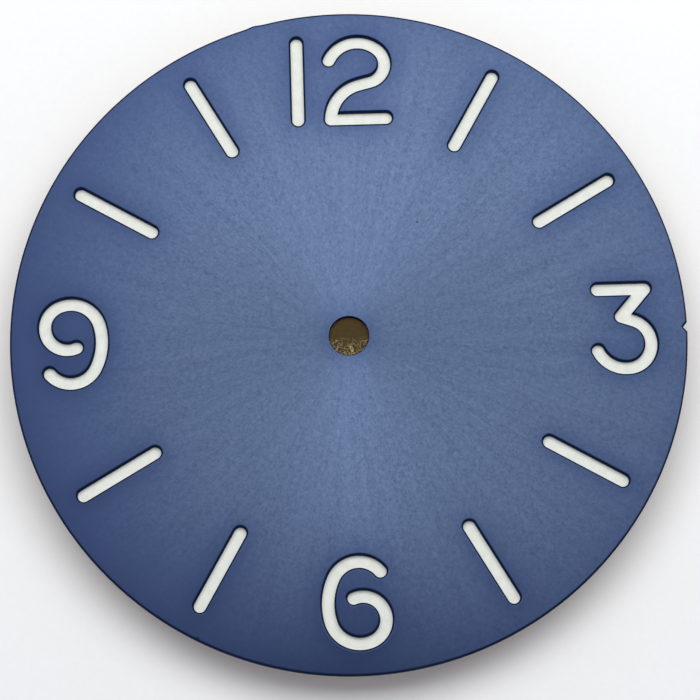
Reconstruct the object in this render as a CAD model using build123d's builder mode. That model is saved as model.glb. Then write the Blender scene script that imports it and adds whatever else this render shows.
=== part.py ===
from build123d import *
import os

# Watch dial of two bonded plates. The upper one is cut through for numerals and batons, luminous compound lies in
# the windows, and two feet on the back hold the dial in its movement.
# Frame: millimetres, origin on the dial's centre in the plane of its back, which rests on the movement. +Z points
# out of the face, +Y to 12 o'clock and +X to 3 o'clock.

# Plates
dial_d = 38.9
face_t = 0.40
film_t = 0.05
base_t = 0.40
base_setback = 0.12
centre_hole_d = 2.30
film_setback = 0.15
face_edge = 0.12

# Locating notch in the rim at 3 o'clock
notch_w = 0.57
notch_depth = 0.24

# Windows, all opened by one round-nosed cutter, which gives the numerals their weight. The insets are from the rim
# to a marker's near end or, for the side numerals, to its middle.
numeral_h = 5.36
stroke_share = 0.1306
baton_len = 5.40
marker_inset = 1.44
side_numeral_inset = 3.64

# Numerals stand at the quarters and batons at the hours between them
hour_count = 12
quarter_count = 4
half_turn = 180
hour_turn = 2 * half_turn / hour_count

# Luminous compound, cured a little below the face and a hair away from the walls
lume_sink = 0.30
lume_gap = 0.02

# Dial feet, on the back at two places that aren't opposite each other, so that the dial goes on one way round
foot_d = 0.95
foot_len = 2.20
foot_tip = 0.12
flange_d = 1.70
flange_t = 0.15
solder_w = 0.35
solder_sag_share = 0.18
foot_inset = 2.45
foot_angles = {"upper": 57, "lower": 231}

# Levels of the stack
film_z = base_t
face_z = film_z + film_t
face_top = face_z + face_t

# Width of every window
cutter_d = stroke_share * numeral_h

# Radii of the markers' places and of the feet
baton_out_r = dial_d / 2 - marker_inset
baton_in_r = baton_out_r - baton_len
numeral_r = baton_out_r - numeral_h / 2
side_numeral_r = dial_d / 2 - side_numeral_inset
foot_r = dial_d / 2 - foot_inset

# The cutter's centreline is as high as the numeral less one cutter. The shares below are of that height.
rise = numeral_h - cutter_d

# The 1 and the 2 of twelve lie to the left and to the right of the upright through the centre
one_x_share = -0.554
two_x_share = 0.2

# The 6 is one stroke: over the crown, down the flank, round the foot, up round the bowl and into its middle
six_start_x_share = 0.293
six_start_y_share = 0.372
six_heading = 129
six_crown_share = 0.338
six_crown_turn = 115.5
six_flank_share = 0.763
six_flank_turn = 41.2
six_foot_share = 0.366
six_foot_turn = 99.7
six_bowl_share = 0.281
six_bowl_turn = 177

# The 2 goes over the top, round the tighter shoulder, along the waist, down the swan neck and out along its base
two_start_x_share = -0.351
two_start_y_share = 0.274
two_heading = 65.2
two_top_share = 0.391
two_top_turn = -107.4
two_shoulder_share = 0.245
two_shoulder_turn = -124
two_waist_share = 0.148
two_neck_share = 0.473
two_neck_turn = 74.5
two_base_share = 0.689

# The 3 has a flat bar, a slanted stroke, a short shoulder and a round bowl that opens out towards its end
three_start_x_share = -0.305
three_start_y_share = 0.498
three_bar_share = 0.582
three_slant_share = 0.460
three_slant_heading = -131.3
three_shoulder_share = 0.160
three_shoulder_heading = -19.1
three_bowl_share = 0.307
three_bowl_turn = -155.9
three_tail_share = 0.382
three_tail_turn = -70.6

# Depth that a cutting tool runs past a face
overrun = 0.5

os.makedirs("parts", exist_ok=True)


def one_path():
    """The 1 is a plain upright."""
    with BuildLine() as path:
        Line((0, -rise / 2), (0, rise / 2))
    return path.line


def two_path():
    """The 2, from its free end to the end of its base."""
    with BuildLine() as path:
        top = JernArc(
            (two_start_x_share * rise, two_start_y_share * rise),
            Vector(1, 0).rotate(Axis.Z, two_heading),
            two_top_share * rise,
            two_top_turn,
        )
        shoulder = JernArc(top @ 1, top % 1, two_shoulder_share * rise, two_shoulder_turn)
        waist = Line(shoulder @ 1, shoulder @ 1 + (shoulder % 1) * two_waist_share * rise)
        neck = JernArc(waist @ 1, waist % 1, two_neck_share * rise, two_neck_turn)
        Line(neck @ 1, neck @ 1 + Vector(two_base_share * rise, 0))
    return path.line


def three_path():
    """The 3, from the end of its bar to its tail."""
    slant_way = Vector(1, 0).rotate(Axis.Z, three_slant_heading)
    shoulder_way = Vector(1, 0).rotate(Axis.Z, three_shoulder_heading)
    start = Vector(three_start_x_share, three_start_y_share) * rise
    with BuildLine() as path:
        bar = Line(start, start + Vector(three_bar_share * rise, 0))
        slant = Line(bar @ 1, bar @ 1 + slant_way * three_slant_share * rise)
        shoulder = Line(slant @ 1, slant @ 1 + shoulder_way * three_shoulder_share * rise)
        bowl = JernArc(shoulder @ 1, shoulder % 1, three_bowl_share * rise, three_bowl_turn)
        JernArc(bowl @ 1, bowl % 1, three_tail_share * rise, three_tail_turn)
    return path.line


def six_path():
    """The 6 is open where its bowl would meet its flank, and turned half a turn it is the 9."""
    with BuildLine() as path:
        crown = JernArc(
            (six_start_x_share * rise, six_start_y_share * rise),
            Vector(1, 0).rotate(Axis.Z, six_heading),
            six_crown_share * rise,
            six_crown_turn,
        )
        flank = JernArc(crown @ 1, crown % 1, six_flank_share * rise, six_flank_turn)
        foot = JernArc(flank @ 1, flank % 1, six_foot_share * rise, six_foot_turn)
        JernArc(foot @ 1, foot % 1, six_bowl_share * rise, six_bowl_turn)
    return path.line


def baton_path():
    """A baton lies along a radius, drawn here along +Y from the dial's centre."""
    with BuildLine() as path:
        Line((0, baton_in_r + cutter_d / 2), (0, baton_out_r - cutter_d / 2))
    return path.line


# Each marker's centreline, its place and its turn on the dial
markers = {
    "one_of_twelve": (one_path(), Location((one_x_share * rise, numeral_r, 0))),
    "two_of_twelve": (two_path(), Location((two_x_share * rise, numeral_r, 0))),
    "three": (three_path(), Location((side_numeral_r, 0, 0))),
    "six": (six_path(), Location((0, -numeral_r, 0))),
    "nine": (six_path(), Location((-side_numeral_r, 0, 0), (0, 0, half_turn))),
}
for hour in range(1, hour_count):
    if hour * quarter_count % hour_count:
        markers[f"baton_{hour:02d}"] = (baton_path(), Location((0, 0, 0), (0, 0, -hour_turn * hour)))


def slot(name, growth):
    """The area that the cutter sweeps along one marker, in its place, grown evenly on every side."""
    path, place = markers[name]
    with BuildSketch() as swept:
        with BuildLine():
            add(path)
            offset(amount=cutter_d / 2 + growth, mode=Mode.REPLACE)
        make_face()
    return swept.sketch.moved(place)


def film_window(name):
    """A plain rectangle round one marker, clear of it on every side, as film is punched."""
    path, place = markers[name]
    extent = path.bounding_box()
    margin = cutter_d + 2 * film_setback
    with BuildSketch() as punched:
        with Locations(extent.center()):
            Rectangle(extent.size.X + margin, extent.size.Y + margin)
    return punched.sketch.moved(place)


def disc(diameter, hole_d):
    """A plate's outline: a disc with the centre hole and the notch at 3 o'clock."""
    with BuildSketch() as outline:
        Circle(diameter / 2)
        Circle(hole_d / 2, mode=Mode.SUBTRACT)
        with BuildLine():
            flare = (notch_depth + overrun) / notch_depth
            tip = (dial_d / 2 - notch_depth, 0)
            upper = (dial_d / 2 + overrun, notch_w / 2 * flare)
            lower = (dial_d / 2 + overrun, -notch_w / 2 * flare)
            Polyline(tip, upper, lower, close=True)
        make_face(mode=Mode.SUBTRACT)
    return outline.sketch


# Face plate: brass disc, windows cut right through, every upper edge softened by the lacquer
with BuildPart() as face_plate:
    with BuildSketch(Plane.XY.offset(face_z)):
        add(disc(dial_d, centre_hole_d))
        for name in markers:
            add(slot(name, 0), mode=Mode.SUBTRACT)
    extrude(amount=face_t)
    upper_edges = face_plate.faces().sort_by(Axis.Z)[-1].edges()
    chamfer(upper_edges, length=face_edge)
face_plate.part.label = "face_plate"
export_step(face_plate.part, "parts/face_plate.step")

# Bonding film: thin adhesive between the plates, kept back from the rim, the hole and the windows, so none shows
with BuildPart() as bonding_film:
    with BuildSketch(Plane.XY.offset(film_z)):
        add(disc(dial_d - 2 * (base_setback + film_setback), centre_hole_d + 2 * film_setback))
        for name in markers:
            add(film_window(name), mode=Mode.SUBTRACT)
    extrude(amount=film_t)
bonding_film.part.label = "bonding_film"
export_step(bonding_film.part, "parts/bonding_film.step")

# Base plate: floor of every window, a little smaller than the face plate so that its rim stays out of sight
with BuildPart() as base_plate:
    with BuildSketch():
        add(disc(dial_d - 2 * base_setback, centre_hole_d))
    extrude(amount=base_t)
base_plate.part.label = "base_plate"
export_step(base_plate.part, "parts/base_plate.step")

# Luminous fills: one in each window, standing on the base plate
for name in markers:
    with BuildPart() as lume:
        with BuildSketch(Plane.XY.offset(base_t)):
            add(slot(name, -lume_gap))
        extrude(amount=face_top - lume_sink - base_t)
    lume.part.label = f"lume_{name}"
    export_step(lume.part, f"parts/lume_{name}.step")

# Dial feet: turned copper pins, each on a flange that is soldered flat to the back, with the solder as a collar
for side, angle in foot_angles.items():
    foot_place = Vector(foot_r, 0).rotate(Axis.Z, angle)
    section = Plane(origin=foot_place, x_dir=(1, 0, 0), z_dir=(0, -1, 0))
    foot_axis = Axis(foot_place, (0, 0, 1))

    with BuildPart() as dial_foot:
        with BuildSketch(section):
            with BuildLine():
                Polyline(
                    (0, 0),
                    (flange_d / 2, 0),
                    (flange_d / 2, -flange_t),
                    (foot_d / 2, -flange_t),
                    (foot_d / 2, foot_tip - foot_len),
                    (foot_d / 2 - foot_tip, -foot_len),
                    (0, -foot_len),
                    close=True,
                )
            make_face()
        revolve(axis=foot_axis)
    dial_foot.part.label = f"dial_foot_{side}"
    export_step(dial_foot.part, f"parts/dial_foot_{side}.step")

    with BuildPart() as solder:
        with BuildSketch(section):
            with BuildLine():
                back = Line((flange_d / 2, 0), (flange_d / 2 + solder_w, 0))
                hollow = SagittaArc(back @ 1, (flange_d / 2, -flange_t), solder_sag_share * flange_t)
                Line(hollow @ 1, back @ 0)
            make_face()
        revolve(axis=foot_axis)
    solder.part.label = f"solder_{side}"
    export_step(solder.part, f"parts/solder_{side}.step")
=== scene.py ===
import logging
import math
from dataclasses import dataclass
from enum import Enum, IntEnum

import bpy
import numpy as np
from mathutils import Matrix, Vector, noise
from mathutils.geometry import delaunay_2d_cdt


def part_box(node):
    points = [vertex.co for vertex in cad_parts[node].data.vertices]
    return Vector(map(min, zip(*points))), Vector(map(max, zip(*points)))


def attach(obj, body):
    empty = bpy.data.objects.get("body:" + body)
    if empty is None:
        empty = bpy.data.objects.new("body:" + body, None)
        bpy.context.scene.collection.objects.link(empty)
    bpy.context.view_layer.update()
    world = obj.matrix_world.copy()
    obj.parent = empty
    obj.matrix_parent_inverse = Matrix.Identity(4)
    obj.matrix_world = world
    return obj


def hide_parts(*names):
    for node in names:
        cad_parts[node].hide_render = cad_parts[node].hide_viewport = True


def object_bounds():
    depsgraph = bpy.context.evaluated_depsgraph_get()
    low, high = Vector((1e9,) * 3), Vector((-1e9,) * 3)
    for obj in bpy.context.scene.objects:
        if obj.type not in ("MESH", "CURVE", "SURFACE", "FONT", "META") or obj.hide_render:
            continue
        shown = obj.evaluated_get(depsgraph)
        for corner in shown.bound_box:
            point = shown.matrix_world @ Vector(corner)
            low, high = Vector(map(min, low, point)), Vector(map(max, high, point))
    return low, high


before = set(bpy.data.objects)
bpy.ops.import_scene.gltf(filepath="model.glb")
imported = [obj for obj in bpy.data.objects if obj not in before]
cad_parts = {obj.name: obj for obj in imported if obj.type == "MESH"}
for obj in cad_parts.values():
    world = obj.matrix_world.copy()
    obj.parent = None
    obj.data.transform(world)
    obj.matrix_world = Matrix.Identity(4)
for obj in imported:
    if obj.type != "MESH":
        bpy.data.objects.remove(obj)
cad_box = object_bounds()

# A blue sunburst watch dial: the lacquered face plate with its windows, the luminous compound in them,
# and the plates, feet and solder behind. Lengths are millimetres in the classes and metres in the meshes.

Tree = bpy.types.NodeTree
Node = bpy.types.Node
Socket = bpy.types.NodeSocket
Pair = tuple[float, float]
Triple = tuple[float, float, float]

LOG = logging.getLogger("dial")
MM = 0.001
# The attribute of the face plate's darkening: partly a fumé, partly painted shade
BODY = "root"
COAT_AND_SHADE = "coat_and_shade"
HALF = 0.5

# Tolerances: the decimals of a millimetre that tell points apart, how far in millimetres a point may lie
# off a level face or a circle, how near two points are one, and twice the area of the least triangle kept
DECIMALS = 4
OFF_LEVEL = 0.002
OFF_CIRCLE = 0.001
WELD = 1e-7
SLIVER = 1e-6


class Slot(Enum):
    """The record's finishes that the modelled pieces carry."""

    LACQUER = "blue_lacquer"
    LUME = "luminous_compound"


class Skin(IntEnum):
    """The places of the face plate's two materials on its mesh."""

    FACE = 0
    # The near-black edge lacquer, whose colour is painted shade
    SHADED_EDGE = 1


class Lean(IntEnum):
    """How far a flat surface faces upwards, in degrees."""

    DOWN = -90
    WALL = 0
    UP = 90


class Mixing(Enum):
    """What a Mix node mixes: Blender's name for it, then the places of its two inputs and its output."""

    NUMBERS = ("FLOAT", 2, 3, 0)
    COLOURS = ("RGBA", 6, 7, 2)


def linear(code: str) -> tuple[float, float, float, float]:
    """Turns an sRGB colour into Blender's linear one.

    Args:
        code: The colour as six hex digits.

    Returns:
        Red, green, blue and an opaque alpha.
    """
    # The curve is the sRGB standard's own
    parts = [int(code[i : i + 2], 16) / 255 for i in (0, 2, 4)]
    red, green, blue = (c / 12.92 if c <= 0.04045 else ((c + 0.055) / 1.055) ** 2.4 for c in parts)
    return red, green, blue, 1.0


def add_node(tree: Tree, kind: str, sockets: dict | None = None, **settings: object) -> Node:
    """Adds one node, sets its options and fills its inputs.

    Args:
        tree: The material's or the world's node tree.
        kind: Blender's name for the kind of node.
        sockets: For each input, by name or place, a value or the output that feeds it.
        settings: The node's own options.

    Returns:
        The new node.
    """
    made = tree.nodes.new(kind)
    for name, value in settings.items():
        setattr(made, name, value)
    for key, value in (sockets or {}).items():
        if isinstance(value, Socket):
            tree.links.new(value, made.inputs[key])
        else:
            made.inputs[key].default_value = value
    return made


def vector_math(
    tree: Tree, operation: str, *inputs: object, output: str = "Vector", **named: object
) -> Socket:
    """Works on vectors.

    Args:
        tree: The node tree.
        operation: Blender's name for the operation.
        inputs: Values or outputs for the inputs, in order.
        output: The name of the output.
        named: Values or outputs for inputs by name.

    Returns:
        The output.
    """
    sockets = {**dict(enumerate(inputs)), **named}
    return add_node(tree, "ShaderNodeVectorMath", sockets, operation=operation).outputs[output]


def scalar_math(tree: Tree, operation: str, *inputs: object, clamp: bool = False) -> Socket:
    """Works on numbers.

    Args:
        tree: The node tree.
        operation: Blender's name for the operation.
        inputs: Values or outputs for the inputs, in order.
        clamp: Whether the result is kept between 0 and 1.

    Returns:
        The output.
    """
    sockets = dict(enumerate(inputs))
    return add_node(tree, "ShaderNodeMath", sockets, operation=operation, use_clamp=clamp).outputs["Value"]


def mixed(
    tree: Tree, share: object, first: object, second: object, kind: Mixing = Mixing.NUMBERS
) -> Socket:
    """Mixes two numbers or two colours.

    Args:
        tree: The node tree.
        share: The second one's share, from 0 to 1.
        first: The first one.
        second: The second one.
        kind: Whether they are numbers or colours.

    Returns:
        The output.
    """
    data_type, one, two, out = kind.value
    sockets = {0: share, one: first, two: second}
    return add_node(tree, "ShaderNodeMix", sockets, data_type=data_type).outputs[out]


def remapped(tree: Tree, value: Socket, source: Pair = (0.0, 1.0), target: Pair = (0.0, 1.0)) -> Socket:
    """Maps one range of numbers onto another and holds what lies beyond its ends.

    Args:
        tree: The node tree.
        value: The number.
        source: The range that it comes from.
        target: The range that it goes to.

    Returns:
        The output.
    """
    ends = {"From Min": source[0], "From Max": source[1], "To Min": target[0], "To Max": target[1]}
    return add_node(tree, "ShaderNodeMapRange", {"Value": value, **ends}).outputs["Result"]


def soft_noise(
    tree: Tree, place: Socket, cell: float = 1.0, detail: float = 2.0, wisp: float = 0.0
) -> Socket:
    """Draws cloudy noise.

    Args:
        tree: The node tree.
        place: The place at which it is read.
        cell: The size of its cells, in the unit of the place.
        detail: How many finer layers it has.
        wisp: How far it is drawn out into wisps.

    Returns:
        The strength output, about a half on average.
    """
    sockets = {"Vector": place, "Scale": 1 / cell, "Detail": detail, "Distortion": wisp}
    return add_node(tree, "ShaderNodeTexNoise", sockets).outputs["Fac"]


def place_in(tree: Tree, sizes: Triple) -> Socket:
    """Gives the place on the piece in sizes of a pattern.

    Args:
        tree: The material's node tree.
        sizes: The pattern's size along each axis in millimetres, or 0 where the pattern doesn't change.

    Returns:
        The vector output.
    """
    place = add_node(tree, "ShaderNodeTexCoord").outputs["Object"]
    return vector_math(tree, "MULTIPLY", place, [1 / (size * MM) if size else 0 for size in sizes])


@dataclass(frozen=True)
class Finish:
    """What a surface is made of and how it was worked. Its colour shows where its pattern is weakest."""

    name: str
    colour: str
    roughness: float
    metallic: float = 0.0

    def material(self) -> bpy.types.Material:
        """Makes the material, with the finish's own pattern in it.

        Returns:
            A node material.
        """
        made = bpy.data.materials.new(self.name)
        made.use_nodes = True
        tree = made.node_tree
        tree.nodes.clear()
        sockets = {"Base Color": linear(self.colour), "Metallic": self.metallic, "Roughness": self.roughness}
        shader = add_node(tree, "ShaderNodeBsdfPrincipled", sockets)
        add_node(tree, "ShaderNodeOutputMaterial", {"Surface": shader.outputs["BSDF"]})
        self.pattern(tree, shader)
        return made

    def pattern(self, tree: Tree, shader: Node) -> None:
        """Adds what the eye sees on this surface besides its colour.

        Args:
            tree: The material's node tree.
            shader: The surface's Principled shader.
        """

    def vary_colour(self, tree: Tree, shader: Node, factor: Socket, second: str) -> Socket:
        """Colours the surface between its own colour and a second one.

        Args:
            tree: The material's node tree.
            shader: The surface's Principled shader.
            factor: The pattern's strength.
            second: The colour where the strength is 1.

        Returns:
            The colour output.
        """
        colour = mixed(tree, factor, linear(self.colour), linear(second), Mixing.COLOURS)
        tree.links.new(colour, shader.inputs["Base Color"])
        return colour

    def vary_gloss(self, tree: Tree, shader: Node, factor: Socket, change: Pair) -> None:
        """Lets the roughness follow the pattern.

        Args:
            tree: The material's node tree.
            shader: The surface's Principled shader.
            factor: The pattern's strength.
            change: What is added to the roughness where the strength is 0 and where it is 1.
        """
        ends = (self.roughness + change[0], self.roughness + change[1])
        tree.links.new(remapped(tree, factor, target=ends), shader.inputs["Roughness"])


@dataclass(frozen=True)
class SunburstLacquer(Finish):
    """Brass brushed outwards from the centre and sprayed with clear blue lacquer, with two pinholes painted
    dark.

    The brushing spreads a highlight across its own direction, so that two bright wedges stand towards 12
    and 6 o'clock and two dark ones towards 3 and 9. Pigment flakes give a fine wispy grain, calmer where
    the plate's darkening attribute is higher. That attribute darkens the colour: a fumé towards the rim,
    with painted shade in it towards the south-west rim, at the rim's edge, round the hole and beside every
    window. Each pinhole is its place, across and up from the centre, and its radius, and it is painted as a
    dark spot: painted shade in place of its pit.
    """

    light: str = "4A5976"
    # The colour that the plate darkens towards: partly a fumé, partly painted shade
    fume_and_shade: str = "CBD5E8"
    brushing: float = 0.84
    line_width: float = 0.16
    line_length: float = 0.30
    ray_width: float = 0.42
    ray_length: float = 7.0
    ray_share: float = 0.20
    flake: float = 0.24
    flake_share: float = 0.62
    wisp: float = 1.2
    grain_range: Pair = (0.32, 0.68)
    calm: float = 0.35
    # Each pinhole is painted as a dark spot: painted shade in place of its pit
    pinholes: tuple[Triple, ...] = ((4.15, 6.64, 0.10), (-9.00, -17.10, 0.16))
    middle_radius: float = 12.0

    def pattern(self, tree: Tree, shader: Node) -> None:
        """Adds the brushing, the flakes, the fumé with its painted shade, and the pinholes' painted shade.

        Args:
            tree: The material's node tree.
            shader: The surface's Principled shader.
        """
        flat = place_in(tree, (1, 1, 0))
        heading = vector_math(tree, "NORMALIZE", flat)
        reach = vector_math(tree, "LENGTH", flat, output="Value")
        lines = self.streaks(tree, heading, reach, self.line_width, self.line_length)
        rays = self.streaks(tree, heading, reach, self.ray_width, self.ray_length)
        flakes = soft_noise(tree, flat, self.flake, wisp=self.wisp)
        grain = mixed(tree, self.ray_share, mixed(tree, self.flake_share, lines, flakes), rays)
        # The plate's darkening: a fumé towards the rim, with painted shade towards the south-west rim, at
        # the rim's edge, round the hole and beside every window
        coat_and_shade = add_node(tree, "ShaderNodeAttribute", attribute_name=COAT_AND_SHADE).outputs["Fac"]
        still = scalar_math(tree, "MULTIPLY", coat_and_shade, self.calm, clamp=True)
        even = mixed(tree, still, remapped(tree, grain, self.grain_range), HALF)
        body = self.vary_colour(tree, shader, even, self.light)
        # The colour darkens by that attribute: fumé and painted shade together
        coat_and_shade_xyz = add_node(tree, "ShaderNodeCombineXYZ", {"X": coat_and_shade, "Y": coat_and_shade, "Z": coat_and_shade}).outputs["Vector"]
        fume_and_shade = vector_math(tree, "POWER", linear(self.fume_and_shade)[:3], coat_and_shade_xyz)
        fumed_and_shaded = vector_math(tree, "MULTIPLY", body, fume_and_shade)
        # The pinholes are painted dark: painted shade
        tree.links.new(self.shade_pinholes(tree, flat, fumed_and_shaded), shader.inputs["Base Color"])
        shader.inputs["Anisotropic"].default_value = self.brushing
        turned = add_node(tree, "ShaderNodeTangent", direction_type="RADIAL", axis="Z")
        tree.links.new(turned.outputs["Tangent"], shader.inputs["Tangent"])

    def streaks(self, tree: Tree, heading: Socket, reach: Socket, width: float, length: float) -> Socket:
        """Draws streaks that run outwards from the centre.

        Args:
            tree: The material's node tree.
            heading: The way outwards at each place, 1 long.
            reach: The distance from the centre, in millimetres.
            width: A streak's width at the middle radius, in millimetres.
            length: A streak's length, in millimetres.

        Returns:
            The strength output, about a half on average.
        """
        lane = vector_math(tree, "MULTIPLY", heading, [self.middle_radius / width] * 3)
        along = scalar_math(tree, "DIVIDE", reach, length)
        drift = add_node(tree, "ShaderNodeCombineXYZ", {"Z": along}).outputs["Vector"]
        return soft_noise(tree, vector_math(tree, "ADD", lane, drift), detail=3.0)

    def shade_pinholes(self, tree: Tree, flat: Socket, colour: Socket) -> Socket:
        """Paints each pinhole as a dark spot on the coat's colour: painted shade in place of its pit.

        Args:
            tree: The material's node tree.
            flat: The place on the face, in millimetres.
            colour: The coat's colour.

        Returns:
            The colour output.
        """
        for x, y, radius in self.pinholes:
            away = vector_math(tree, "DISTANCE", flat, (x, y, 0), output="Value")
            colour = vector_math(tree, "SCALE", colour, Scale=remapped(tree, away, (0.0, radius)))
        return colour


@dataclass(frozen=True)
class ShadedLacquerEdge(Finish):
    """The same lacquer over an edge and down a wall: thick, unbrushed and dull, and nearly black, which is
    painted shade on the walls and steep edges.
    """

    light: str = "0C2244"
    ripple: float = 0.35
    gloss: float = 0.05

    def pattern(self, tree: Tree, shader: Node) -> None:
        """Adds the slow change of thickness along an edge.

        Args:
            tree: The material's node tree.
            shader: The surface's Principled shader.
        """
        self.vary_colour(tree, shader, soft_noise(tree, place_in(tree, (self.ripple,) * 3)), self.light)
        shader.inputs["Specular IOR Level"].default_value = self.gloss


@dataclass(frozen=True)
class PhosphorPaste(Finish):
    """Strontium aluminate crystals in clear binder, filled in wet and cured: dull, milky and granular."""

    light: str = "F3F6F0"
    crystal: float = 0.05
    clump: float = 0.45
    cloud_range: Pair = (0.3, 0.7)
    relief: float = 0.006
    relief_strength: float = 0.6

    def pattern(self, tree: Tree, shader: Node) -> None:
        """Adds the crystals and the slow clouding of the paste.

        Args:
            tree: The material's node tree.
            shader: The surface's Principled shader.
        """
        place = place_in(tree, (1, 1, 1))
        crystals = soft_noise(tree, place, self.crystal)
        clouds = soft_noise(tree, place, self.clump, detail=1.0)
        both = remapped(tree, mixed(tree, HALF, crystals, clouds), self.cloud_range)
        self.vary_colour(tree, shader, both, self.light)
        grains = {"Height": crystals, "Distance": self.relief * MM, "Strength": self.relief_strength}
        tree.links.new(add_node(tree, "ShaderNodeBump", grains).outputs["Normal"], shader.inputs["Normal"])


@dataclass(frozen=True)
class RolledBrass(Finish):
    """Half-hard brass sheet, rubbed along one direction: warm yellow with fine straight lines."""

    light: str = "D9BA7C"
    line_width: float = 0.06
    line_length: float = 5.0
    gloss_change: Pair = (-0.08, 0.10)

    def pattern(self, tree: Tree, shader: Node) -> None:
        """Adds the rubbed lines, in colour and in gloss.

        Args:
            tree: The material's node tree.
            shader: The surface's Principled shader.
        """
        place = place_in(tree, (self.line_length, self.line_width, self.line_width))
        lines = soft_noise(tree, place, detail=4.0)
        self.vary_colour(tree, shader, lines, self.light)
        self.vary_gloss(tree, shader, lines, self.gloss_change)


@dataclass(frozen=True)
class AdhesiveSheet(Finish):
    """Transfer adhesive between two metal plates: amber, with the faint cloudiness of pressed glue."""

    light: str = "D8C38C"
    cloud: float = 0.5

    def pattern(self, tree: Tree, shader: Node) -> None:
        """Adds the cloudiness.

        Args:
            tree: The material's node tree.
            shader: The surface's Principled shader.
        """
        clouds = soft_noise(tree, place_in(tree, (self.cloud,) * 3), detail=3.0)
        self.vary_colour(tree, shader, clouds, self.light)


@dataclass(frozen=True)
class TurnedCopper(Finish):
    """Copper wire turned in a collet: fine rings round the pin, duller where fingers have touched it."""

    light: str = "C98A68"
    ring: float = 0.04
    ring_width: float = 4.0
    tarnish: float = 0.6
    gloss_change: Pair = (-0.08, 0.12)

    def pattern(self, tree: Tree, shader: Node) -> None:
        """Adds the turning rings and the tarnish.

        Args:
            tree: The material's node tree.
            shader: The surface's Principled shader.
        """
        rings = soft_noise(tree, place_in(tree, (self.ring_width, self.ring_width, self.ring)))
        clouds = soft_noise(tree, place_in(tree, (self.tarnish,) * 3), detail=3.0)
        self.vary_colour(tree, shader, mixed(tree, HALF, rings, clouds), self.light)
        self.vary_gloss(tree, shader, rings, self.gloss_change)


@dataclass(frozen=True)
class CooledSolder(Finish):
    """Tin solder that ran round the foot and set: bright grey crystals with duller edges."""

    dull: str = "9DA0A2"
    crystal: float = 0.16
    gloss_change: Pair = (0.0, 0.2)

    def pattern(self, tree: Tree, shader: Node) -> None:
        """Adds the crystals.

        Args:
            tree: The material's node tree.
            shader: The surface's Principled shader.
        """
        place = place_in(tree, (self.crystal,) * 3)
        edges = add_node(tree, "ShaderNodeTexVoronoi", {"Vector": place, "Scale": 1.0}).outputs["Distance"]
        self.vary_colour(tree, shader, edges, self.dull)
        self.vary_gloss(tree, shader, edges, self.gloss_change)


@dataclass(frozen=True)
class FibreFelt(Finish):
    """Brown felt on the end of a stand's peg, with straw-coloured fibres painted only on its front half,
    where light through the hole falls: painted light.
    """

    light: str = "4A3A10"
    fibre: str = "C2B283"
    mottle: float = 0.17
    spacing: float = 0.34
    width: float = 0.075
    curl: float = 0.40
    swing: float = 1.1
    # The front half, where light through the hole falls: the fibres are painted only there, painted light
    lit_front: Pair = (0.0, -0.25)
    lift: Pair = (0.35, 0.60)
    lift_shares: Pair = (0.25, 1.0)

    def pattern(self, tree: Tree, shader: Node) -> None:
        """Adds the felt's mottle and its loose fibres.

        Args:
            Adds the felt's mottle and its fibres, shown only on the front half where light falls: painted
            light.
            shader: The surface's Principled shader.
        """
        place = place_in(tree, (1, 1, 1))
        felt = self.vary_colour(tree, shader, soft_noise(tree, place, self.mottle), self.light)
        sockets = {"Vector": place, "Scale": 1 / self.curl, "Detail": 1.0}
        bends = add_node(tree, "ShaderNodeTexNoise", sockets).outputs
        bent = vector_math(tree, "MULTIPLY_ADD", bends["Color"], [self.swing] * 3, place)
        cells = add_node(
            tree,
            "ShaderNodeTexVoronoi",
            {"Vector": bent, "Scale": 1 / self.spacing},
            voronoi_dimensions="2D",
            feature="DISTANCE_TO_EDGE",
        )
        net = cells.outputs["Distance"]
        line = remapped(tree, net, (0.0, self.width), (1.0, 0.0))
        across = add_node(tree, "ShaderNodeSeparateXYZ", {0: place}).outputs["Y"]
        # Fibres only on the front half, where light through the hole falls: painted light
        lit_fibres = scalar_math(tree, "MULTIPLY", line, remapped(tree, across, self.lit_front))
        lifted = remapped(tree, bends["Fac"], self.lift, self.lift_shares)
        shown = scalar_math(tree, "MULTIPLY", lit_fibres, lifted)
        fibres = mixed(tree, shown, felt, linear(self.fibre), Mixing.COLOURS)
        tree.links.new(fibres, shader.inputs["Base Color"])


@dataclass(frozen=True)
class MattCard(Finish):
    """Heavy card: matt, with the faintest tooth."""

    light: str = "FCFDFE"
    tooth: float = 0.3

    def pattern(self, tree: Tree, shader: Node) -> None:
        """Adds the tooth of the card.

        Args:
            tree: The material's node tree.
            shader: The surface's Principled shader.
        """
        self.vary_colour(tree, shader, soft_noise(tree, place_in(tree, (self.tooth,) * 3)), self.light)


def outlines(node: bpy.types.Object, height: float) -> list[np.ndarray]:
    """Reads the edges of a solid's flat face.

    Args:
        node: The solid.
        height: The height of the face, in millimetres.

    Returns:
        Closed outlines in millimetres, each with the solid on its left as seen from above.
    """
    mesh = node.data
    places = [tuple(round(c / MM, DECIMALS) for c in v.co) for v in mesh.vertices]
    sides: dict[tuple[Triple, Triple], None] = {}
    for face in mesh.polygons:
        corners = [places[i] for i in face.vertices]
        if max(abs(c[2] - height) for c in corners) > OFF_LEVEL:
            continue
        if face.normal.z < 0:
            corners.reverse()
        for start, end in zip(corners, corners[1:] + corners[:1]):
            if start != end:
                sides[start, end] = None
    border = {start: end for start, end in sides if (end, start) not in sides}
    found = []
    while border:
        start, here = border.popitem()
        loop = [start]
        while here != start:
            loop.append(here)
            here = border.pop(here)
        found.append(np.array(loop)[:, :2])
    return found


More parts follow.
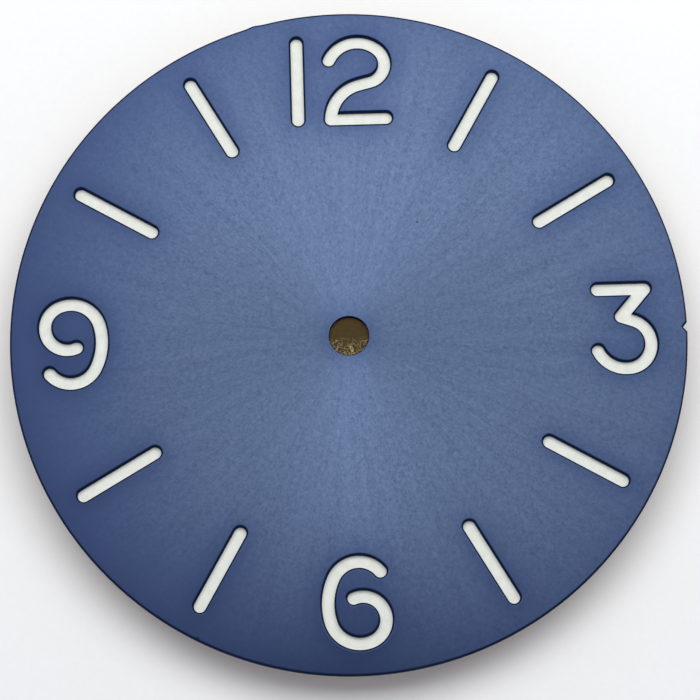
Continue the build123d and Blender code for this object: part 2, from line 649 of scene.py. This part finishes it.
def rounded(loop: np.ndarray, most_turn: float = 15.0, most_change: float = 1.6) -> np.ndarray:
    """Puts a point in the middle of each run of an arc, on the arc's own curve.

    Args:
        loop: A closed outline.
        most_turn: The most that an arc turns at a point, in degrees. Where it turns more, it has a corner.
        most_change: The most by which an arc's neighbouring runs differ in length. Past that, the arc ends.

    Returns:
        The outline with more points.
    """
    before, after, beyond = (np.roll(loop, -k, 0) for k in (-1, 1, 2))
    runs = [end - start for start, end in ((before, loop), (loop, after), (after, beyond))]
    spans = [np.linalg.norm(run, axis=1) for run in runs]
    ways = [run / span[:, None] for run, span in zip(runs, spans)]
    least = math.cos(math.radians(most_turn))
    arc = np.ones(len(loop), bool)
    for one, two in ((0, 1), (1, 2)):
        change = spans[one] / spans[two]
        arc &= (ways[one] * ways[two]).sum(1) > least
        arc &= (change < most_change) & (change > 1 / most_change)
    # The cubic through four even points passes its middle at nine sixteenths of each inner point, less one
    # sixteenth of each outer one
    middle = (9 * (loop + after) - before - beyond) / 16
    made = []
    for spot, halfway, on_arc in zip(loop, middle, arc):
        made.extend((spot, halfway) if on_arc else (spot,))
    return np.array(made)


def divided(loop: np.ndarray, step: float, radius: float = 0.0) -> np.ndarray:
    """Cuts an outline's long runs into short ones.

    Args:
        loop: A closed outline.
        step: The longest run that stays whole.
        radius: The circle round the dial's centre on which a run's new points lie, if its ends do.

    Returns:
        The outline with more points.
    """
    made = []
    for start, end in zip(loop, np.roll(loop, -1, 0)):
        count = max(1, math.ceil(np.linalg.norm(end - start) / step))
        run = [start + (end - start) * k / count for k in range(count)]
        if max(abs(np.linalg.norm(spot) - radius) for spot in (start, end)) < OFF_CIRCLE:
            run = [spot * radius / np.linalg.norm(spot) for spot in run]
        made.extend(run)
    return np.array(made)


def mitres(loop: np.ndarray) -> np.ndarray:
    """Gives each point's way inwards, as long as an even offset of 1 needs.

    Args:
        loop: A closed outline.

    Returns:
        A vector for each point, to the left of the outline.
    """
    ahead = np.roll(loop, -1, 0) - loop
    ahead /= np.linalg.norm(ahead, axis=1, keepdims=True)
    left = np.stack((-ahead[:, 1], ahead[:, 0]), 1)
    before = np.roll(left, 1, 0)
    return (left + before) / (1 + (left * before).sum(1))[:, None]


def inside(spots: np.ndarray, loops: list[np.ndarray]) -> np.ndarray:
    """Tells which spots lie on the material that closed outlines bound.

    Args:
        spots: The spots.
        loops: The outlines.

    Returns:
        True or False for each spot.
    """
    within = np.zeros(len(spots), bool)
    for loop in loops:
        after = np.roll(loop, -1, 0)
        rise = after[:, 1] - loop[:, 1]
        slope = (after[:, 0] - loop[:, 0]) / np.where(rise == 0, 1, rise)
        crossed = (loop[:, 1] > spots[:, 1:]) != (after[:, 1] > spots[:, 1:])
        crossing = loop[:, 0] + slope * (spots[:, 1:] - loop[:, 1])
        within ^= (crossed & (crossing > spots[:, :1])).sum(1) % 2 == 1
    return within


@dataclass(frozen=True)
class Line:
    """One line of a cross-section that runs along an outline.

    Its inset is from the outline, its height from the back of the dial, and its lean is how far the surface
    there faces upwards: 0 degrees for a wall and 90 for a flat top.
    """

    inset: float
    height: float
    lean: float


class Body:
    """A closed body that grows from flat outlines, one line of its cross-section after the other."""

    def __init__(self, loops: list[np.ndarray]) -> None:
        """Takes the outlines.

        Args:
            loops: Closed outlines, each with the body on its left.
        """
        self.loops = loops
        self.ways = [mitres(loop) for loop in loops]
        self.points: list[Triple] = []
        self.normals: list[Triple] = []
        self.faces: list[tuple[int, ...]] = []
        self.skins: list[int] = []

    def ring(self, *lines: Line) -> list[np.ndarray]:
        """Lays one line along every outline.

        Args:
            lines: The line, or one for each outline.

        Returns:
            The points' numbers, one array for each outline.
        """
        made = []
        each = lines if len(lines) > 1 else lines * len(self.loops)
        for loop, way, line in zip(self.loops, self.ways, each):
            flat, up = math.cos(math.radians(line.lean)), math.sin(math.radians(line.lean))
            spots = loop + way * line.inset
            outward = -way / np.linalg.norm(way, axis=1, keepdims=True)
            made.append(np.arange(len(spots)) + len(self.points))
            self.points.extend((x, y, line.height) for x, y in spots)
            self.normals.extend((x * flat, y * flat, up) for x, y in outward)
        return made

    def band(self, lower: list[np.ndarray], upper: list[np.ndarray], skin: int = 0) -> None:
        """Joins two lines with faces.

        Args:
            lower: The line nearer the outline or the back.
            upper: The next line.
            skin: The place of the faces' material.
        """
        for low, high in zip(lower, upper):
            for a, b, c, d in zip(low, np.roll(low, -1), np.roll(high, -1), high):
                self.faces.append((int(a), int(b), int(c), int(d)))
                self.skins.append(skin)

    def lid(self, line: list[np.ndarray], skin: int = 0, up: bool = True, pitch: float = 0.0) -> None:
        """Closes the body across a line.

        Args:
            line: The line's points.
            skin: The place of the faces' material.
            up: Whether the lid faces upwards.
            pitch: The distance between the points that are added on the lid, or 0 for none.
        """
        numbers = list(np.concatenate(line))
        rims = [np.array([self.points[i][:2] for i in ring]) for ring in line]
        spots = np.concatenate(rims)
        if pitch:
            clearance = pitch / 3
            low, high = spots.min(0), spots.max(0)
            across, along = np.meshgrid(*(np.arange(low[k], high[k], pitch) for k in (0, 1)))
            added = np.stack((across.ravel(), along.ravel()), 1)
            clear = np.linalg.norm(added[:, None] - spots[None], axis=2).min(1) > clearance
            added = added[clear & inside(added, rims)]
            height = self.points[numbers[0]][2]
            numbers.extend(range(len(self.points), len(self.points) + len(added)))
            self.points.extend((x, y, height) for x, y in added)
            self.normals.extend([(0.0, 0.0, 1.0 if up else -1.0)] * len(added))
            spots = np.concatenate((spots, added))
        edges, first = [], 0
        for ring in line:
            count = len(ring)
            edges.extend((first + k, first + (k + 1) % count) for k in range(count))
            first += count
        spots = [Vector(spot) for spot in spots]
        places, _, triangles, sources, _, _ = delaunay_2d_cdt(spots, edges, [], 0, WELD)
        flat, corners = np.array([tuple(place) for place in places]), np.array(triangles)
        one, two, three = (flat[corners[:, k]] for k in range(3))
        (ahead_x, ahead_y), (aside_x, aside_y) = (two - one).T, (three - one).T
        solid = ahead_x * aside_y - ahead_y * aside_x > SLIVER
        kept = corners[solid & inside(flat[corners].mean(1), rims)]
        for triangle in kept:
            a, b, c = (int(numbers[sources[i][0]]) for i in triangle)
            self.faces.append((a, b, c) if up else (a, c, b))
            self.skins.append(skin)

    def piece(self, name: str, materials: list[bpy.types.Material]) -> bpy.types.Object:
        """Makes the mesh and puts it into the scene.

        Args:
            name: The piece's name.
            materials: The materials that the faces' skins count in.

        Returns:
            The piece.
        """
        mesh = bpy.data.meshes.new(name)
        mesh.from_pydata([tuple(c * MM for c in p) for p in self.points], [], self.faces)
        for material in materials:
            mesh.materials.append(material)
        mesh.polygons.foreach_set("material_index", self.skins)
        mesh.polygons.foreach_set("use_smooth", [True] * len(self.faces))
        mesh.update()
        mesh.normals_split_custom_set_from_vertices(self.normals)
        made = bpy.data.objects.new(name, mesh)
        bpy.context.scene.collection.objects.link(made)
        return made


def mount(piece: bpy.types.Object, node: str) -> None:
    """Puts a modelled piece on the dial in a solid's place.

    Args:
        piece: The piece.
        node: The name of the solid that it replaces.
    """
    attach(piece, BODY)
    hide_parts(node)


@dataclass
class FacePlate:
    """The upper plate: a disc cut through for every marker, its upper edges all rounded by the lacquer.

    The lacquer draws back from the sharp edges of the windows most, a little less at the rim and hardly in
    the reamed hole. Where the rounded edge leans back by less than the given angle, in degrees, it takes the
    near-black edge lacquer, whose colour is painted shade. An attribute darkens the top's colour: a fumé
    towards the rim, with painted shade towards the south-west rim, at the rim's edge, round the hole and
    beside every window. A knock has raised a low burr on the rim, half an hour before 12 o'clock.
    """

    node: str = "face_plate"
    window_edge: float = 0.15
    rim_edge: float = 0.14
    hole_edge: float = 0.03
    edge_steps: int = 8
    # Up to this lean the rounded edge takes the near-black edge lacquer: painted shade
    painted_shade_below: float = 76.0
    longest_run: float = 0.45
    rim_run: float = 0.2
    hole_run: float = 0.09
    pitch: float = 0.45
    burr_angle: float = 105.1
    burr: float = 0.066
    burr_width: float = 0.34
    # A fumé that darkens towards the rim from a middle set off towards 1 o'clock, so that the south-west
    # rim, away from the lamp, is painted darker: partly fumé, partly painted shade
    fume_and_shade_middle: Pair = (3.2, 1.8)
    fume_and_shade_from: float = 5.6
    fume_and_shade_to: float = 18.8
    fume_and_shade_power: float = 3.0
    # Painted shade beside every window and round the hole, and along the rim's edge
    opening_shade: float = 0.80
    shade_reach: float = 0.5
    opening_shade_step: float = 0.15
    rim_shade: float = 0.4

    def knocked(self, rim: np.ndarray) -> np.ndarray:
        """Raises the burr on the rim.

        Args:
            rim: The rim's outline.

        Returns:
            The outline with the burr.
        """
        reach = np.linalg.norm(rim, axis=1)
        away = (np.arctan2(rim[:, 1], rim[:, 0]) - math.radians(self.burr_angle)) * reach
        raised = self.burr * np.exp(-((away / self.burr_width) ** 2))
        return rim * (1 + raised / reach)[:, None]

    def coat_and_shade(self, points: np.ndarray, openings: list[np.ndarray]) -> np.ndarray:
        """Tells how far the top's colour darkens: a fumé towards the rim from a middle set off towards 1
        o'clock, so that the south-west rim is darker as painted shade, and more painted shade beside every
        edge.

        Args:
            points: Points of the plate, seen from above.
            openings: The outlines of the hole and the windows.

        Returns:
            The darkening at each point beyond that in the middle, where 1 is about that at the rim.
        """
        away = np.linalg.norm(points - self.fume_and_shade_middle, axis=1) - self.fume_and_shade_from
        made = (np.maximum(away, 0) / (self.fume_and_shade_to - self.fume_and_shade_from)) ** self.fume_and_shade_power
        reach = np.linalg.norm(points, axis=1)
        # Painted shade along the rim's edge
        made += self.rim_shade * np.exp((reach - reach.max()) / self.shade_reach)
        # Painted shade beside every window and round the hole
        for opening in openings:
            edge = divided(opening, self.opening_shade_step)
            spans = np.linalg.norm(np.roll(edge, -1, 0) - edge, axis=1)
            near = np.linalg.norm(points[:, None] - edge[None], axis=2)
            made += self.opening_shade * np.exp(-near / self.shade_reach) @ spans
        return made

    def edges(self) -> list[np.ndarray]:
        """Takes the plate's outlines from the solid.

        Returns:
            The hole's outline, then the windows', then the rim's.
        """
        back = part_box(self.node)[0].z / MM
        loops = outlines(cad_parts[self.node], back)
        loops.sort(key=lambda loop: np.linalg.norm(loop, axis=1).max())
        hole, rim = (
            divided(loop, run, np.linalg.norm(loop, axis=1).max())
            for loop, run in ((loops[0], self.hole_run), (loops[-1], self.rim_run))
        )
        windows = [divided(rounded(loop), self.longest_run) for loop in loops[1:-1]]
        return [hole, *windows, self.knocked(rim)]

    def build(self, face: Finish, edge: Finish) -> bpy.types.Object:
        """Builds the plate on the solid's own outlines.

        Args:
            face: The finish of the flat top.
            edge: The finish of the walls and the steep part of the rounded edges.

        Returns:
            The piece.
        """
        back, top = (corner.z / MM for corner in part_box(self.node))
        loops = self.edges()
        radii = [self.hole_edge] + [self.window_edge] * (len(loops) - 2) + [self.rim_edge]
        body = Body(loops)
        body.lid(body.ring(Line(0, back, Lean.DOWN)), Skin.SHADED_EDGE, up=False)
        last = body.ring(Line(0, back, Lean.WALL))
        for step in range(self.edge_steps + 1):
            lean = Lean.UP * step / self.edge_steps
            inward, downward = 1 - math.cos(math.radians(lean)), 1 - math.sin(math.radians(lean))
            here = body.ring(*(Line(radius * inward, top - radius * downward, lean) for radius in radii))
            # Steep rings take the near-black edge lacquer, painted shade; the rest takes the top's lacquer
            body.band(last, here, Skin.SHADED_EDGE if lean <= self.painted_shade_below else Skin.FACE)
            last = here
        body.lid(last, Skin.FACE, pitch=self.pitch)
        made = body.piece("lacquered_face_plate", [face.material(), edge.material()])
        # The top's darkening for the material: a fumé with painted shade in it
        coat_and_shade = made.data.attributes.new(COAT_AND_SHADE, "FLOAT", "POINT")
        coat_and_shade.data.foreach_set("value", self.coat_and_shade(np.array(body.points)[:, :2], loops[:-1]))
        mount(made, self.node)
        return made


@dataclass
class LumeFill:
    """The luminous compound in one window, a little higher along the walls and sunk in the middle."""

    node: str
    insets: tuple[float, ...] = (-0.015, 0.0, 0.02, 0.05, 0.09, 0.14, 0.19)
    sink: float = 0.06
    climb: float = 0.04
    climb_reach: float = 0.08
    longest_run: float = 0.12
    waviness: float = 0.012
    wave: float = 0.7

    def surface(self, inset: float, top: float) -> Line:
        """Gives a line of the meniscus.

        Args:
            inset: How far in from the solid's wall it runs.
            top: The level of the solid's top.

        Returns:
            The line.
        """
        rise = self.climb * math.exp(-inset / self.climb_reach)
        slope = rise / self.climb_reach
        return Line(inset, top - self.sink + rise, Lean.UP + math.degrees(math.atan(slope)))

    def build(self, paste: bpy.types.Material) -> bpy.types.Object:
        """Builds the fill on the solid's own outline.

        Args:
            paste: The compound's material.

        Returns:
            The piece.
        """
        back, top = (corner.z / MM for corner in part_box(self.node))
        loops = outlines(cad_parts[self.node], top)
        body = Body([divided(rounded(loop), self.longest_run) for loop in loops])
        wall = self.insets[0]
        body.lid(body.ring(Line(wall, back, Lean.DOWN)), up=False)
        foot = body.ring(Line(wall, back, Lean.WALL))
        body.band(foot, body.ring(Line(wall, self.surface(wall, top).height, Lean.WALL)))
        first = len(body.points)
        last = body.ring(self.surface(wall, top))
        for inset in self.insets[1:]:
            here = body.ring(self.surface(inset, top))
            body.band(last, here)
            last = here
        body.lid(last)
        for number in range(first, len(body.points)):
            x, y, z = body.points[number]
            wave = noise.noise(Vector((x, y, 0)) / self.wave)
            body.points[number] = (x, y, z + self.waviness * wave)
        made = body.piece(self.node.replace("lume_", "lume_fill_"), [paste])
        mount(made, self.node)
        return made


@dataclass
class Backing:
    """The solids behind the face, which keep their own shape. A finish goes by how the names start."""

    finishes: tuple[tuple[str, Finish], ...]

    def dress(self) -> None:
        """Gives each solid its material."""
        for start, finish in self.finishes:
            made = finish.material()
            for name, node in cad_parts.items():
                if name.startswith(start):
                    node.data.materials.clear()
                    node.data.materials.append(made)
                    LOG.info("%s: %s", name, finish.name)


@dataclass
class Studio:
    """The pale floor, the peg under the dial, the soft lamp, the room's even light and the camera."""

    floor_half: float = 1500.0
    peg_radius: float = 1.12
    peg_depth: float = 0.25
    peg_sides: int = 96
    lamp_place: Triple = (14.0, 87.0, 200.0)
    lamp_size: Pair = (308.0, 154.0)
    lamp_radiance: float = 3.05
    lamp_tint: Triple = (1.01, 1.015, 0.97)
    room_radiance: float = 0.38
    room_tint: Triple = (0.97, 0.975, 1.08)
    eye: Triple = (-1.6087, -32.5260, 147.5884)
    aim: Triple = (0.0327, -0.8358, 0.0)
    roll: float = -1.741
    lens: float = 135.499
    sensor: float = 36.0
    sight: Pair = (10.0, 10000.0)

    def on_face(self, place: Triple) -> Vector:
        """Turns a place measured from the middle of the face into one in the dial's own frame."""
        return Vector(place) * MM + Vector((0, 0, cad_box[1].z))

    def lay_floor(self, finish: Finish) -> None:
        """Lays the floor under the tips of the dial's feet.

        Args:
            finish: The floor's finish.
        """
        half, level = self.floor_half * MM, cad_box[0].z
        mesh = bpy.data.meshes.new("floor")
        corners = [(-half, -half, level), (half, -half, level), (half, half, level), (-half, half, level)]
        mesh.from_pydata(corners, [], [(0, 1, 2, 3)])
        mesh.materials.append(finish.material())
        floor = bpy.data.objects.new("floor", mesh)
        bpy.context.scene.collection.objects.link(floor)

    def stand_peg(self, finish: Finish) -> None:
        """Stands a peg on the floor, whose end shows in the dial's centre hole a little below the face.

        Args:
            finish: The peg's finish.
        """
        floor, top = cad_box[0].z / MM, cad_box[1].z / MM - self.peg_depth
        turns = np.linspace(0, 2 * math.pi, self.peg_sides, endpoint=False)
        body = Body([self.peg_radius * np.stack((np.cos(turns), np.sin(turns)), 1)])
        body.band(body.ring(Line(0, floor, Lean.WALL)), body.ring(Line(0, top, Lean.WALL)))
        body.lid(body.ring(Line(0, top, Lean.UP)))
        peg = body.piece("stand_peg", [finish.material()])

    def light(self) -> None:
        """Hangs the lamp and fills the room with even light."""
        lamp = bpy.data.lights.new("soft_lamp", "AREA")
        lamp.shape = "RECTANGLE"
        lamp.size, lamp.size_y = (side * MM for side in self.lamp_size)
        lamp.energy = self.lamp_radiance * math.pi * lamp.size * lamp.size_y
        lamp.color = self.lamp_tint
        hung = bpy.data.objects.new("soft_lamp", lamp)
        hung.location = self.on_face(self.lamp_place)
        hung.visible_camera = False
        bpy.context.scene.collection.objects.link(hung)
        world = bpy.data.worlds.new("room")
        world.use_nodes = True
        tree = world.node_tree
        tree.nodes.clear()
        colour = (*self.room_tint, 1.0)
        sky = add_node(tree, "ShaderNodeBackground", {"Color": colour, "Strength": self.room_radiance})
        add_node(tree, "ShaderNodeOutputWorld", {"Surface": sky.outputs["Background"]})
        bpy.context.scene.world = world

    def set_camera(self) -> None:
        """Sets the camera where the photograph was taken from."""
        data = bpy.data.cameras.new("camera")
        data.lens = self.lens
        data.sensor_width = self.sensor
        data.clip_start, data.clip_end = (reach * MM for reach in self.sight)
        camera = bpy.data.objects.new("camera", data)
        eye, aim = self.on_face(self.eye), self.on_face(self.aim)
        forward = (aim - eye).normalized()
        right = forward.cross(Vector((0, 1, 0))).normalized()
        upright = Matrix((right, right.cross(forward), -forward)).transposed().to_4x4()
        rolled = upright @ Matrix.Rotation(math.radians(self.roll), 4, "Z")
        camera.matrix_world = Matrix.Translation(eye) @ rolled
        bpy.context.scene.collection.objects.link(camera)
        bpy.context.scene.camera = camera
        bpy.context.scene.view_settings.view_transform = "Standard"


def main() -> None:
    """Builds the dial's visible pieces in order, dresses the solids behind them and sets up the studio."""
    logging.basicConfig(level=logging.INFO, format="%(name)s: %(message)s")
    lacquer = SunburstLacquer(
        "sunburst_blue_lacquer_on_brushed_brass", "31415E", roughness=0.32, metallic=0.75
    )
    # Near-black lacquer on the walls and steep edges: painted shade
    edge = ShadedLacquerEdge("shaded_blue_lacquer_on_cut_edges", "061430", roughness=0.6)
    plate = FacePlate().build(lacquer, edge)
    LOG.info("%s: %d faces", plate.name, len(plate.data.polygons))
    paste = PhosphorPaste("cured_luminous_compound", "E3E6DD", roughness=0.6).material()
    for name in sorted(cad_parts):
        if name.startswith("lume_"):
            fill = LumeFill(name).build(paste)
            LOG.info("%s: %d faces", fill.name, len(fill.data.polygons))
    Backing(
        (
            ("base_plate", RolledBrass("rubbed_brass_sheet", "B8934F", roughness=0.32, metallic=1.0)),
            ("bonding_film", AdhesiveSheet("pressed_transfer_adhesive", "C2A768", roughness=0.45)),
            ("dial_foot", TurnedCopper("turned_copper_wire", "A9674A", roughness=0.34, metallic=1.0)),
            ("solder", CooledSolder("cooled_tin_solder", "C4C6C6", roughness=0.36, metallic=1.0)),
        )
    ).dress()
    studio = Studio()
    studio.lay_floor(MattCard("white_card_floor", "F8F8F9", roughness=0.9))
    studio.stand_peg(FibreFelt("brown_felt_peg", "38290C", roughness=0.9))
    studio.light()
    studio.set_camera()


if __name__ == "__main__":
    main()
